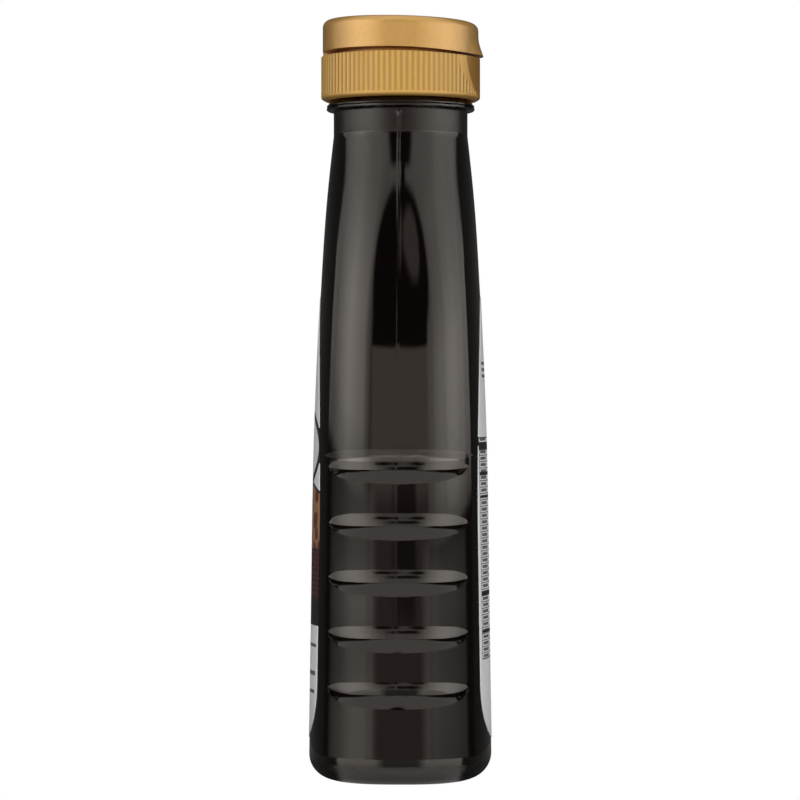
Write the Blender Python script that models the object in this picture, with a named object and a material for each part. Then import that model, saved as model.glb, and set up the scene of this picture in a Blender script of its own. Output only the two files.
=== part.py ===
"""A shut squeeze bottle of date syrup: clear bottle, syrup, ribbed cap base, flip lid and two labels.

Metres, +Z up. The origin is the middle of the base. The front label faces -Y and the back
label +Y, where the lid's thumb lip is too. The narrow sides, with the finger grooves, face
-X and +X.
"""

import math

import bmesh
import bpy
import numpy as np

FIT_GAP = 0.0003  # between two pieces that touch

# Body: height, half width along X, half depth along Y
BODY_STATIONS = (
    (0.000, 0.0310, 0.02330),
    (0.045, 0.0308, 0.02257),
    (0.085, 0.0297, 0.02190),
    (0.126, 0.0258, 0.02014),
    (0.147, 0.0216, 0.01877),
    (0.163, 0.0171, 0.01710),
)
NECK_BOTTOM = BODY_STATIONS[-1][0]
NECK_RADIUS = BODY_STATIONS[-1][1]
BODY_POWER = 2.7  # exponent of the body's superellipse; a circle has 2
SHOULDER_DROP = 0.055  # below the neck, over which the section turns from round to squarish
HEEL_RADIUS = 0.005
WALL = 0.0008
BASE_WALL = 0.0012

# Finger grooves on the narrow sides
GROOVE_COUNT = 5
LOWEST_GROOVE = 0.0225
GROOVE_PITCH = 0.01393
GROOVE_HALF_HEIGHT = 0.0033
GROOVE_DEPTH = 0.0015
GROOVE_REACH = 0.0174  # from the middle of the side to each end

# Neck ring and the finish inside the cap
RING_RADIUS = 0.0189
RING_BOTTOM = 0.1694
RING_TOP = 0.1713
RING_EDGE = 0.0004
FINISH_RADIUS = 0.0175
FINISH_TOP = 0.1815
BORE_RADIUS = 0.0157
FILL_LEVEL = FINISH_TOP - 0.001

# Cap base
BASE_BOTTOM = 0.1722
BASE_TOP = 0.1835
BASE_RADIUS = 0.0203
BASE_BORE_RADIUS = 0.0180
BASE_EDGE = 0.0004
RIB_COUNT = 90
RIB_DEPTH = 0.00035
RIB_BOTTOM = 0.1738
RIB_TOP = 0.1832
PANEL_HALF_ANGLE = math.radians(41)  # smooth thumb panel under the lid's lip
PANEL_DROP = 0.0093

# Lid
LID_RADIUS = 0.0199
LID_TOP = 0.1921  # at the middle; the top slopes down to the lip
LID_TOP_SLOPE = math.tan(math.radians(1.4))
LID_GAP = 0.0007  # at the middle; wider at the hinge side, narrower at the lip
LID_GAP_SLOPE = math.tan(math.radians(0.9))
LID_EDGE_RADIUS = 0.0019
LIP_OUT = 0.0014
LIP_HALF_ANGLE = math.radians(28)
LIP_HEIGHT = 0.0044

# Labels
LABEL_HALF_WIDTH = 0.0189
LABEL_BOTTOM = 0.0097
LABEL_CORNER = 0.0255  # where the rounded lower end meets the straight sides
LABEL_CORNER_POWER = 2.5
LABEL_SPRING = 0.060  # where the round-headed upper end begins
LABEL_TOP = 0.122
LABEL_THICKNESS = 0.0003

BODY_COLUMNS = 48
LID_COLUMNS = 60
LABEL_COLUMNS = 12


def clear_scene():
    for old in list(bpy.data.objects):
        bpy.data.objects.remove(old, do_unlink=True)


def material(name, color, roughness, metallic=0.0, transmission=0.0):
    made = bpy.data.materials.new(name)
    made.use_nodes = True
    shader = made.node_tree.nodes["Principled BSDF"]
    shader.inputs["Base Color"].default_value = (*color, 1.0)
    shader.inputs["Roughness"].default_value = roughness
    shader.inputs["Metallic"].default_value = metallic
    shader.inputs["Transmission Weight"].default_value = transmission
    return made


def loft(name, rings, look):
    """One closed solid through rings of equal count, each end closed by a flat face."""
    mesh = bmesh.new()
    loops = [[mesh.verts.new(point) for point in ring] for ring in rings]
    for lower, upper in zip(loops, loops[1:]):
        for i in range(len(lower)):
            j = (i + 1) % len(lower)
            mesh.faces.new((lower[i], lower[j], upper[j], upper[i]))
    mesh.faces.new(reversed(loops[0]))
    mesh.faces.new(loops[-1])
    bmesh.ops.recalc_face_normals(mesh, faces=mesh.faces)
    data = bpy.data.meshes.new(name)
    mesh.to_mesh(data)
    mesh.free()
    data.shade_smooth()
    data.set_sharp_from_angle(angle=math.radians(35))
    data.materials.append(look)
    made = bpy.data.objects.new(name, data)
    bpy.context.scene.collection.objects.link(made)
    return made


def curve_bends(heights, values):
    """Second derivatives of the natural cubic spline through the stations."""
    spans = np.diff(heights)
    rises = np.diff(values) / spans
    system = np.eye(len(heights))
    target = np.zeros(len(heights))
    for i in range(1, len(heights) - 1):
        system[i, i - 1 : i + 2] = spans[i - 1], 2 * (spans[i - 1] + spans[i]), spans[i]
        target[i] = 6 * (rises[i] - rises[i - 1])
    return np.linalg.solve(system, target)


def body_half(column, height):
    """Half width (column 1) or half depth (column 2) of the body at a height."""
    stations = np.array(BODY_STATIONS)
    heights, values = stations[:, 0], stations[:, column]
    if height >= NECK_BOTTOM:
        return NECK_RADIUS
    bends = curve_bends(heights, values)
    i = max(int(np.searchsorted(heights, height)) - 1, 0)
    span = heights[i + 1] - heights[i]
    above = heights[i + 1] - height
    below = height - heights[i]
    arcs = (bends[i] * above**3 + bends[i + 1] * below**3) / (6 * span)
    start = (values[i] / span - bends[i] * span / 6) * above
    end = (values[i + 1] / span - bends[i + 1] * span / 6) * below
    return float(arcs + start + end)


def body_power(height):
    share = min(max((NECK_BOTTOM - height) / SHOULDER_DROP, 0.0), 1.0)
    return 2.0 + (BODY_POWER - 2.0) * share * share * (3 - 2 * share)


def turn(count):
    return np.arange(count) * (2 * math.pi / count)


def ring_of(radii, angles, height):
    """Points at these radii and angles round the Z axis, at one height or at one for each."""
    heights = np.broadcast_to(height, angles.shape)
    return np.column_stack((radii * np.cos(angles), radii * np.sin(angles), heights))


def circle(radius, height, count):
    return ring_of(radius, turn(count), height)


def section(height, inset=0.0, side_inset=0.0):
    """A ring of the body, drawn in all round by inset and on the narrow sides by side_inset too."""
    width = body_half(1, height) - inset - side_inset
    depth = body_half(2, height) - inset
    power = body_power(height)
    angles = turn(BODY_COLUMNS)
    across = np.abs(np.cos(angles) / width) ** power
    along = np.abs(np.sin(angles) / depth) ** power
    return ring_of((across + along) ** (-1 / power), angles, height)


def groove_roots():
    return [LOWEST_GROOVE + k * GROOVE_PITCH for k in range(GROOVE_COUNT)]


def grooved(ring):
    """The ring with the finger grooves pressed in: each is a V that narrows to nothing at its ends."""
    across = np.clip(1 - (ring[:, 1] / GROOVE_REACH) ** 2, 0, None)
    height = ring[0, 2]
    nearest = min(abs(height - root) for root in groove_roots())
    share = np.clip(across - nearest / GROOVE_HALF_HEIGHT, 0, None)
    pressed = ring.copy()
    pressed[:, 0] -= np.sign(ring[:, 0]) * GROOVE_DEPTH * share
    return pressed


def heel_rings(floor, radius, inset):
    """The rounded bottom edge, from the flat base up to the wall."""
    rings = []
    for angle in np.radians((0, 30, 60)):
        height = floor + radius * (1 - math.cos(angle))
        drawn_in = inset + radius * (1 - math.sin(angle))
        rings.append(section(height, drawn_in))
    return rings


def outer_heights():
    """Ring heights up the outside, with five across each finger groove."""
    grooves = [
        root + step * GROOVE_HALF_HEIGHT
        for root in groove_roots()
        for step in (-1, -0.5, 0, 0.5, 1)
    ]
    lower = [HEEL_RADIUS, 0.012]
    shoulder = list(np.linspace(max(grooves) + 0.007, NECK_BOTTOM, 12))
    return lower + grooves + shoulder


def inner_rings(inset, lowest, highest):
    """The inside of the wall, clear of the grooves' roots, from the floor up to a flat top."""
    low_groove = LOWEST_GROOVE - GROOVE_HALF_HEIGHT
    high_groove = groove_roots()[-1] + GROOVE_HALF_HEIGHT
    radius = HEEL_RADIUS - WALL
    rings = heel_rings(lowest, radius, inset)
    heights = [lowest + radius, low_groove, *np.linspace(low_groove, high_groove, 4)[1:-1]]
    heights += [high_groove, *np.linspace(high_groove, NECK_BOTTOM, 9)[1:]]
    for height in heights:
        gripped = low_groove - 0.001 < height < high_groove + 0.001
        rings.append(section(height, inset, GROOVE_DEPTH if gripped else 0.0))
    bore = BORE_RADIUS - (inset - WALL)
    rings.append(circle(bore, RING_BOTTOM, BODY_COLUMNS))
    rings.append(circle(bore, highest, BODY_COLUMNS))
    return rings


def make_bottle():
    """A thin-walled bottle, open at the mouth inside the cap."""
    plastic = material("clear_plastic", (0.86, 0.87, 0.85), 0.04, transmission=1.0)
    rings = heel_rings(0.0, HEEL_RADIUS, 0.0)
    rings += [grooved(section(height)) for height in outer_heights()]
    for radius, height in (
        (NECK_RADIUS, RING_BOTTOM),
        (RING_RADIUS, RING_BOTTOM + RING_EDGE),
        (RING_RADIUS, RING_TOP - RING_EDGE),
        (FINISH_RADIUS, RING_TOP),
        (FINISH_RADIUS, FINISH_TOP),
    ):
        rings.append(circle(radius, height, BODY_COLUMNS))
    rings += reversed(inner_rings(WALL, BASE_WALL, FINISH_TOP))
    return loft("bottle", rings, plastic)


def make_syrup():
    """The syrup, filling the inside up into the neck."""
    brown = material("date_syrup", (0.018, 0.007, 0.003), 0.1)
    return loft("syrup", inner_rings(WALL + FIT_GAP, BASE_WALL + FIT_GAP, FILL_LEVEL), brown)


def base_ring(radius, height, ribs):
    """A ring round the cap base, two points to a rib, smooth inside the half-oval thumb panel."""
    count = 2 * RIB_COUNT
    angles = turn(count)
    from_lip = np.abs(np.arctan2(np.sin(angles - math.pi / 2), np.cos(angles - math.pi / 2)))
    drop = (BASE_TOP - height) / PANEL_DROP
    panel = (from_lip / PANEL_HALF_ANGLE) ** 2 + drop**2 < 1
    valley = (np.arange(count) % 2 == 1) & ~panel
    radii = radius - RIB_DEPTH * ribs * valley
    return ring_of(radii, angles, height)


def make_cap_base():
    """The screwed-on part of the cap: a ribbed skirt round the finish, closed by a flat deck."""
    gold = material("gold_plastic_ribbed", (0.62, 0.38, 0.12), 0.4, metallic=0.5)
    count = 2 * RIB_COUNT
    deck = FINISH_TOP + FIT_GAP
    rings = [
        circle(BASE_BORE_RADIUS / 2, deck, count),
        circle(BASE_BORE_RADIUS, deck, count),
        circle(BASE_BORE_RADIUS, BASE_BOTTOM, count),
        circle(BASE_RADIUS - BASE_EDGE, BASE_BOTTOM, count),
        circle(BASE_RADIUS, BASE_BOTTOM + BASE_EDGE, count),
        base_ring(BASE_RADIUS, RIB_BOTTOM, 0.0),
    ]
    for share in (0.0, 0.33, 0.66, 1.0):
        height = RIB_BOTTOM + RIB_DEPTH + share * (RIB_TOP - RIB_BOTTOM - RIB_DEPTH)
        rings.append(base_ring(BASE_RADIUS, height, 1.0))
    rings.append(circle(BASE_RADIUS - RIB_DEPTH - BASE_EDGE, BASE_TOP, count))
    rings.append(circle(BASE_BORE_RADIUS / 2, BASE_TOP, count))
    return loft("cap_base", rings, gold)


def lid_ring(radius, height, slope, lip=0.0):
    """A ring round the lid, tilted about X, drawn out at the thumb lip."""
    angles = turn(LID_COLUMNS)
    from_lip = np.arctan2(np.sin(angles - math.pi / 2), np.cos(angles - math.pi / 2))
    share = np.clip(1 - (from_lip / LIP_HALF_ANGLE) ** 2, 0, None)
    radii = radius + lip * share
    return ring_of(radii, angles, height - slope * radii * np.sin(angles))


def make_lid():
    """The shut flip lid, solid, with a rounded top edge and a thumb lip."""
    gold = material("gold_plastic_smooth", (0.66, 0.41, 0.13), 0.3, metallic=0.6)
    bottom = BASE_TOP + LID_GAP
    rings = [
        lid_ring(LID_RADIUS / 2, bottom, LID_GAP_SLOPE),
        lid_ring(LID_RADIUS, bottom, LID_GAP_SLOPE, LIP_OUT),
        lid_ring(LID_RADIUS, bottom + LIP_HEIGHT / 2, LID_GAP_SLOPE, LIP_OUT / 4),
        lid_ring(LID_RADIUS, bottom + LIP_HEIGHT, LID_GAP_SLOPE),
    ]
    for angle in np.radians((0, 30, 60, 90)):
        drawn_in = LID_EDGE_RADIUS * (1 - math.cos(angle))
        height = LID_TOP - LID_EDGE_RADIUS * (1 - math.sin(angle))
        rings.append(lid_ring(LID_RADIUS - drawn_in, height, LID_TOP_SLOPE))
    rings.append(lid_ring(LID_RADIUS / 2, LID_TOP, LID_TOP_SLOPE))
    return loft("cap_lid", rings, gold)


def label_half_width(height):
    """Round-headed above, straight-sided, with a rounded lower end."""
    if height > LABEL_SPRING:
        share = (height - LABEL_SPRING) / (LABEL_TOP - LABEL_SPRING)
        return LABEL_HALF_WIDTH * math.sqrt(max(1 - share**2, 0))
    if height < LABEL_CORNER:
        share = (LABEL_CORNER - height) / (LABEL_CORNER - LABEL_BOTTOM)
        power = LABEL_CORNER_POWER
        return LABEL_HALF_WIDTH * max(1 - share**power, 0) ** (1 / power)
    return LABEL_HALF_WIDTH


def label_heights():
    """Ring heights, closer together where the outline turns at the ends."""
    lower = LABEL_CORNER - (LABEL_CORNER - LABEL_BOTTOM) * np.array((0.99, 0.9, 0.7, 0.4))
    upper = LABEL_SPRING + (LABEL_TOP - LABEL_SPRING) * np.array((0.4, 0.65, 0.82, 0.93, 0.99))
    return [*lower, LABEL_CORNER, 0.037, 0.049, LABEL_SPRING, *upper]


def make_label(name, side, look):
    """A thin sheet that lies round the front (side -1) or the back (side +1) of the body."""
    rings = []
    for height in label_heights():
        across = np.linspace(-1, 1, LABEL_COLUMNS + 1) * label_half_width(height)
        width, depth, power = body_half(1, height), body_half(2, height), body_power(height)
        wall = depth * (1 - np.abs(across / width) ** power) ** (1 / power)
        inner = np.column_stack((across, side * (wall + FIT_GAP), np.full(len(across), height)))
        outer = inner + (0, side * LABEL_THICKNESS, 0)
        rings.append(np.vstack((inner, outer[::-1])))
    return loft(name, rings, look)


def main():
    clear_scene()
    make_bottle()
    make_syrup()
    make_cap_base()
    make_lid()
    make_label("label_front", -1, material("label_paper_front", (0.8, 0.79, 0.76), 0.55))
    make_label("label_back", 1, material("label_paper_back", (0.8, 0.8, 0.78), 0.55))


main()
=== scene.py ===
"""The looks of a shut squeeze bottle of date syrup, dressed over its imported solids.

Metres, +Z up. The front label faces -Y, the back label and the lid's lip +Y, and the grooved
narrow sides face -X and +X. The camera looks at the +X side.
"""

import math

import bpy
import numpy as np
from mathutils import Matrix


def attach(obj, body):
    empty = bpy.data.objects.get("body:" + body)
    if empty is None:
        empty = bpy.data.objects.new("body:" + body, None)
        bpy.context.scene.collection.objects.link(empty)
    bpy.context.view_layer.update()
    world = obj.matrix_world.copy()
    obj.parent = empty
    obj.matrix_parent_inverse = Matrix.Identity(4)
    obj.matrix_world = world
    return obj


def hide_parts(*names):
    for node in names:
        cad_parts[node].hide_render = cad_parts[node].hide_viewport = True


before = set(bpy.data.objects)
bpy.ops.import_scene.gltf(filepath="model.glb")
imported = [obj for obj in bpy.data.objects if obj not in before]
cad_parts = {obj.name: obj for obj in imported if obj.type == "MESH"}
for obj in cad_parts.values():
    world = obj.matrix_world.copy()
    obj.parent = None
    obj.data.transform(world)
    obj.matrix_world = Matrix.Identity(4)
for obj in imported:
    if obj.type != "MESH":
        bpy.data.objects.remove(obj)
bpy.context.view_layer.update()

MM = 0.001

# Body: height, half width along X, half depth along Y
BODY_STATIONS = np.array((
    (0.000, 0.0310, 0.02330),
    (0.045, 0.0308, 0.02257),
    (0.085, 0.0297, 0.02190),
    (0.126, 0.0258, 0.02014),
    (0.147, 0.0216, 0.01877),
    (0.163, 0.0171, 0.01710),
))
NECK_BOTTOM, NECK_RADIUS = BODY_STATIONS[-1, :2]
BODY_POWER = 2.7  # of the superellipse; a circle has 2
SHOULDER_DROP = 0.055  # below the neck, over which the section turns round
HEEL_RADIUS = 0.006
WALL = 0.0008
SYRUP_INTO_WALL = 0.0001

# Finger grooves: each has a slope in, a fold, a nearly straight part, a root and a slope out
GROOVE_ROOTS = 0.0225 + 0.01393 * np.arange(5)
GROOVE_HALF_HEIGHT = 0.0033
GROOVE_DEPTH = 0.0015
GROOVE_REACH = 0.0172  # from the middle of the side to each end
GROOVE_LENS_REACH = 0.94  # of that reach, where the slope out ends
GROOVE_DRAFT = 0.14  # slope of the straight part
GROOVE_DRAFT_END = 0.3  # share of the full depth under which the draft fades out
GROOVE_HOLLOW = 0.18  # how hollow the slope in is
GROOVE_END_STEEPNESS = 1.8  # of the slope out, at the ends
GROOVE_RISES = np.array((0.55, 0.47, 0.36, 0.25, 0.25))  # of the ends, from the lowest groove up
GROOVE_END_POWER, GROOVE_LENS_POWER = 5, 0.8  # how blunt the ends and the slope out's points are
GROOVE_CLEARANCE = 0.0045  # from the end roots to the plain rows above and below
LEAST_STRAIGHT, LEAST_SLOPE = 0.00005, 0.0003  # heights that keep the rows apart at the ends
GRIP_BOTTOM, GRIP_TOP, GRIP_FADE = 0.015, 0.086, 0.004  # where the inside keeps clear of them

# Mould marks: a seam on each narrow side, fainter below its middle, and a nub on the neck
SEAM_HEIGHT, SEAM_HALF_WIDTH = 0.0001, 0.00038
SEAM_LOW_SHARE, SEAM_MIDDLE, SEAM_FADE = 0.25, 0.09, 0.02
SEAM_FAN = 0.05  # radians to either side that its extra columns spread over
NUB_MIDDLE, NUB_RADIUS, NUB_HEIGHT = 0.1678, 0.0005, 0.0004

# Neck: the ring under the cap, and the finish inside it
RING_BOTTOM, RING_TOP, RING_RADIUS = 0.16935, 0.1708, 0.0189
FINISH_RADIUS, FINISH_TOP, BORE_RADIUS = 0.0175, 0.1815, 0.0157
FILL_LEVEL = FINISH_TOP - 0.001

# Cap: the ribbed skirt, its thumb panel, and the seat that the lid's gap shows
CAP_BOTTOM, CAP_TOP, CAP_RADIUS, CAP_BORE = 0.1719, 0.1832, 0.0203, 0.0180
CAP_DECK = FINISH_TOP + 0.0003
RIB_COUNT, RIB_DEPTH, RIB_BOTTOM, RIB_TOP = 90, 0.0002, 0.1729, 0.1831
PANEL_HALF_ANGLE, PANEL_DROP, PANEL_POWER, PANEL_EDGE = math.radians(41), 0.0095, 2.5, 0.02
SKIRT_DIP, SEAT_RADIUS, HINGE_HALF_ANGLE = 0.0005, 0.0165, math.radians(6)

# Lid: heights hold at its middle, and the slopes fall towards the lip
LID_RADIUS, LID_TOP, LID_GAP, LID_EDGE_RADIUS = 0.0199, 0.1921, 0.0010, 0.0019
LID_TOP_SLOPE, LID_GAP_SLOPE = math.tan(math.radians(1.4)), math.tan(math.radians(0.65))
LIP_OUT, LIP_HALF_ANGLE, LIP_HEIGHT = 0.0013, math.radians(28), 0.0048
LID_DROOP, DROOP_START, DROOP_END = 0.00065, math.radians(30), math.radians(100)

# Labels: a rounded foot up to the corner, straight sides up to the spring, a half oval above
LABEL_HALF_WIDTH, LABEL_BOTTOM, LABEL_CORNER = 0.0189, 0.0097, 0.0255
LABEL_CORNER_POWER = 2.5
LABEL_SPRING, LABEL_TOP = 0.060, 0.122
LABEL_OFF_WALL, LABEL_THICKNESS = 0.00003, 0.00012

# Camera: on the +X side, turned a little towards the back label
CAMERA_DISTANCE = 0.900
CAMERA_HEIGHT = 0.0956
CAMERA_TURN = math.radians(1.5)
CAMERA_ASIDE = 0.16 * MM
PIXEL = 0.2557 * MM  # at the bottle's axis
VIEW_WIDTH = PIXEL * 800
SENSOR = 36.0


# ---------------------------------------------------------------- shapes

def smooth_step(share):
    """0 up to 0 and 1 from 1 on; between them 3 share squared minus 2 share cubed."""
    share = np.clip(share, 0, 1)
    return share * share * (3 - 2 * share)


def body_half(column, heights):
    """Half width (1) or half depth (2): a natural cubic spline through the stations, which on
    each span blends its two ends and adds a cubic bend that vanishes at both."""
    knots, values = BODY_STATIONS[:, 0], BODY_STATIONS[:, column]
    spans = np.diff(knots)
    rises = np.diff(values) / spans
    system, target = np.eye(len(knots)), np.zeros(len(knots))
    for i in range(1, len(knots) - 1):
        system[i, i - 1:i + 2] = spans[i - 1], 2 * (spans[i - 1] + spans[i]), spans[i]
        target[i] = 6 * (rises[i] - rises[i - 1])
    bends = np.linalg.solve(system, target)
    at = np.minimum(heights, NECK_BOTTOM)
    i = np.clip(np.searchsorted(knots, at) - 1, 0, len(spans) - 1)
    above, below, span = knots[i + 1] - at, at - knots[i], spans[i]
    arcs = (bends[i] * above**3 + bends[i + 1] * below**3) / (6 * span)
    start = (values[i] / span - bends[i] * span / 6) * above
    end = (values[i + 1] / span - bends[i + 1] * span / 6) * below
    return arcs + start + end


def body_power(heights):
    """The section's power: full below the shoulder, falling smoothly to 2 at the neck."""
    return 2 + (BODY_POWER - 2) * smooth_step((NECK_BOTTOM - heights) / SHOULDER_DROP)


def body_reach(heights, angles, inset=0.0, side_inset=0.0):
    """Distance of the wall from the axis: a superellipse, whose power falls to 2 at the neck."""
    width = body_half(1, heights) - inset - side_inset
    depth = body_half(2, heights) - inset
    power = body_power(heights)
    across = np.abs(np.cos(angles) / width) ** power
    along = np.abs(np.sin(angles) / depth) ** power
    return (across + along) ** (-1 / power)


def around(reach, angles, heights):
    """Points at this reach and angle round Z: x = reach cos, y = reach sin."""
    reach, angles, heights = np.broadcast_arrays(reach, angles, heights)
    return np.stack((reach * np.cos(angles), reach * np.sin(angles), heights), axis=-1)


def heel_inset(heights, radius):
    """How far the quarter circle of the heel draws the wall in at each height above the floor."""
    rise = np.clip(radius - heights, 0, radius)
    return radius - np.sqrt(np.maximum(radius**2 - rise**2, 0))


def groove_spans(across, rise):
    """How far a groove's fold has risen towards its ends, its depth, and the heights of its
    slope in, its straight part and its slope out. The slope in and the depth end bluntly, the
    slope out in points; the straight part takes what is left."""
    blunt = np.sqrt(np.maximum(1 - across**GROOVE_END_POWER, 1e-6))
    lens = (1 - np.minimum(across / GROOVE_LENS_REACH, 1) ** 2) ** GROOVE_LENS_POWER
    risen = GROOVE_HALF_HEIGHT * (1 - blunt) * rise
    depth, upper = GROOVE_DEPTH * blunt, GROOVE_HALF_HEIGHT * blunt
    straight = upper * (1 - lens) / 2 + risen - GROOVE_HALF_HEIGHT * (1 - blunt) / 4
    lower = np.hypot(GROOVE_HALF_HEIGHT * lens, depth / GROOVE_END_STEEPNESS)
    return risen, depth, upper, straight, lower


def groove_rows(angles):
    """Rows that run along each groove's edges, with even steps between them."""
    roots = GROOVE_ROOTS[:, None]
    across = np.minimum(np.abs(body_reach(roots, angles) * np.sin(angles)) / GROOVE_REACH, 1)
    risen, _, upper, straight, lower = groove_spans(across, GROOVE_RISES[:, None])
    fold = roots + risen
    straight = np.maximum(straight, LEAST_STRAIGHT)
    upper, lower = np.maximum(upper, LEAST_SLOPE), np.maximum(lower, LEAST_SLOPE)
    edges = np.stack((fold - straight - lower, fold - straight, fold, fold + upper), axis=1)
    edges = edges.reshape(-1, len(angles))
    steps = (6, 2, 8, 6) * len(GROOVE_ROOTS)
    return np.concatenate([
        start + (end - start) * np.arange(count)[:, None] / count
        for start, end, count in zip(edges, edges[1:], steps)
    ] + [edges[-1:]])


def press_grooves(points):
    """Moves the narrow sides in at each finger groove. Going down, the wall slopes in to a
    fold, falls almost straight to the root, and slopes out again. All of it ends at the reach."""
    across = np.minimum(np.abs(points[..., 1]) / GROOVE_REACH, 1)
    nearest = np.abs(points[..., 2:] - GROOVE_ROOTS).argmin(axis=-1)
    risen, depth, upper, straight, lower = groove_spans(across, GROOVE_RISES[nearest])
    draft = GROOVE_DRAFT * np.minimum(depth / (GROOVE_DRAFT_END * GROOVE_DEPTH), 1)
    over_fold = points[..., 2] - (GROOVE_ROOTS[nearest] + risen)
    above = np.clip(over_fold / upper, 0, 1)
    going_in = depth * (1 - above) * (1 - GROOVE_HOLLOW * above)
    going_in -= draft * np.minimum(over_fold, 0)
    going_out = (depth + draft * straight) * (1 + (over_fold + straight) / lower)
    pressed = np.maximum(np.minimum(going_in, going_out), 0)
    points[..., 0] -= np.sign(points[..., 0]) * pressed
    return points


def raise_seam(points):
    """Lifts the mould's parting line on both narrow sides, a narrow bell across y = 0 that is
    lower on the body's lower half, and on the neck a small round nub, a bell both ways."""
    across, up = points[..., 1], points[..., 2] - NUB_MIDDLE
    share = smooth_step((points[..., 2] - SEAM_MIDDLE) / SEAM_FADE)
    share = SEAM_LOW_SHARE + (1 - SEAM_LOW_SHARE) * share
    share = np.where(points[..., 2] < RING_BOTTOM, share, 0)
    line = SEAM_HEIGHT * share * np.exp(-((across / SEAM_HALF_WIDTH) ** 2))
    nub = NUB_HEIGHT * np.exp(-(across**2 + up**2) / NUB_RADIUS**2)
    points[..., 0] += np.sign(points[..., 0]) * (line + nub)
    return points


def put(name, data):
    """A new object in the scene."""
    made = bpy.data.objects.new(name, data)
    bpy.context.scene.collection.objects.link(made)
    return made


def mesh_of(name, points, faces, look, crease=None):
    """A smooth object at the origin; edges that bend by more than the crease stay sharp."""
    data = bpy.data.meshes.new(name)
    data.from_pydata(points.tolist(), [], faces)
    data.update()
    data.shade_smooth()
    if crease:
        data.set_sharp_from_angle(angle=math.radians(crease))
    data.materials.append(look)
    return put(name, data)


def turned(name, grid, look, crease=None, ends=True):
    """A surface over a grid (row, column) that closes along its columns. Rows run so that the
    faces point out, and each end row closes on a point at its middle."""
    rows, columns = grid.shape[:2]
    index = np.arange(rows * columns).reshape(rows, columns)
    beside = np.roll(index, -1, axis=1)
    quads = np.stack((index[:-1], beside[:-1], beside[1:], index[1:]), axis=-1)
    faces = quads.reshape(-1, 4).tolist()
    points = grid.reshape(-1, 3)
    if ends:
        first, last = rows * columns, rows * columns + 1
        points = np.vstack((points, grid[0].mean(axis=0), grid[-1].mean(axis=0)))
        low = np.stack((np.full(columns, first), beside[0], index[0]), axis=-1)
        high = np.stack((np.full(columns, last), index[-1], beside[-1]), axis=-1)
        faces += low.tolist() + high.tolist()
    return mesh_of(name, points, faces, look, crease)


def circles(profile, angles):
    """Rings of a turned profile: rows of (radius, height)."""
    profile = np.asarray(profile)
    return around(profile[:, :1], angles, profile[:, 1:])


def seam_columns(count):
    """Angles round the body, evenly spaced with extra ones close to the two parting lines."""
    near = SEAM_FAN * np.linspace(-1, 1, 25) ** 3
    even = np.linspace(0, 2 * math.pi, count, endpoint=False)
    every = np.concatenate((even, near % (2 * math.pi), math.pi + near))
    return np.unique(np.round(every, 6))


def floor_rings(reach, angles, height):
    """Flat rings from near the middle out to just short of the given reach."""
    shares = np.linspace(0.1, 1, 6, endpoint=False)[:, None]
    return around(reach * shares, angles, height)


def make_bottle_wall():
    """Outside: heel, body with grooves and seam, neck and ring. Inside: the same body drawn in
    by the wall, back down to the floor of the inside."""
    angles = seam_columns(300)
    below = np.concatenate((
        HEEL_RADIUS * (1 - np.cos(np.linspace(0, math.pi / 2, 14))),
        np.arange(HEEL_RADIUS + 0.001, GROOVE_ROOTS[0] - GROOVE_CLEARANCE, 0.001),
    ))[:, None]
    above = np.arange(GROOVE_ROOTS[-1] + GROOVE_CLEARANCE, NECK_BOTTOM, 0.0012)
    above = np.append(above, NECK_BOTTOM)[:, None]
    even = np.ones(len(angles))
    low = np.concatenate((below * even, groove_rows(angles), above * even))
    outside = around(body_reach(low, angles, heel_inset(low, HEEL_RADIUS)), angles, low)
    outside = raise_seam(press_grooves(outside))
    base = floor_rings(body_reach(0.0, angles, HEEL_RADIUS), angles, 0.0)
    up = np.arange(NECK_BOTTOM + 0.0003, RING_BOTTOM - 0.0007, 0.00025)
    collar = circles(np.stack((np.full(len(up), NECK_RADIUS), up), axis=-1), angles)
    neck = circles((
        (NECK_RADIUS, RING_BOTTOM - 0.0005),
        (NECK_RADIUS + 0.0003, RING_BOTTOM - 0.0002),
        (RING_RADIUS - 0.0003, RING_BOTTOM),
        (RING_RADIUS, RING_BOTTOM + 0.00025),
        (RING_RADIUS, RING_BOTTOM + 0.00065),
        (RING_RADIUS - 0.0004, RING_BOTTOM + 0.00087),
        (RING_RADIUS - 0.00005, RING_BOTTOM + 0.00105),
        (RING_RADIUS - 0.00005, RING_BOTTOM + 0.0013),
        (RING_RADIUS - 0.0003, RING_TOP),
        (FINISH_RADIUS + 0.0003, CAP_BOTTOM + 0.0001),
        (FINISH_RADIUS, CAP_BOTTOM + 0.0004),
        (FINISH_RADIUS, FINISH_TOP),
        (BORE_RADIUS, FINISH_TOP),
        (BORE_RADIUS, RING_BOTTOM),
    ), angles)
    inner_heel = HEEL_RADIUS - WALL
    down = np.concatenate((
        np.linspace(NECK_BOTTOM, 0.084, 16),
        np.linspace(0.080, 0.020, 12),
        np.linspace(0.018, WALL + inner_heel, 4),
        WALL + inner_heel * (1 - np.sin(np.linspace(0.2, math.pi / 2, 6))),
    ))[:, None]
    drawn = WALL + heel_inset(down - WALL, inner_heel)
    inside = around(body_reach(down, angles, drawn, grip_inset(down)), angles, down)
    bottom = floor_rings(body_reach(WALL, angles, WALL + inner_heel), angles, WALL)
    return np.concatenate((base, outside, raise_seam(collar), neck, inside, bottom[::-1]))


def grip_inset(heights):
    """Keeps the inside clear of the grooves: their depth behind them, fading out above and below."""
    low = smooth_step((heights - GRIP_BOTTOM) / GRIP_FADE)
    high = smooth_step((GRIP_TOP - heights) / GRIP_FADE)
    return GROOVE_DEPTH * low * high


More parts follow.
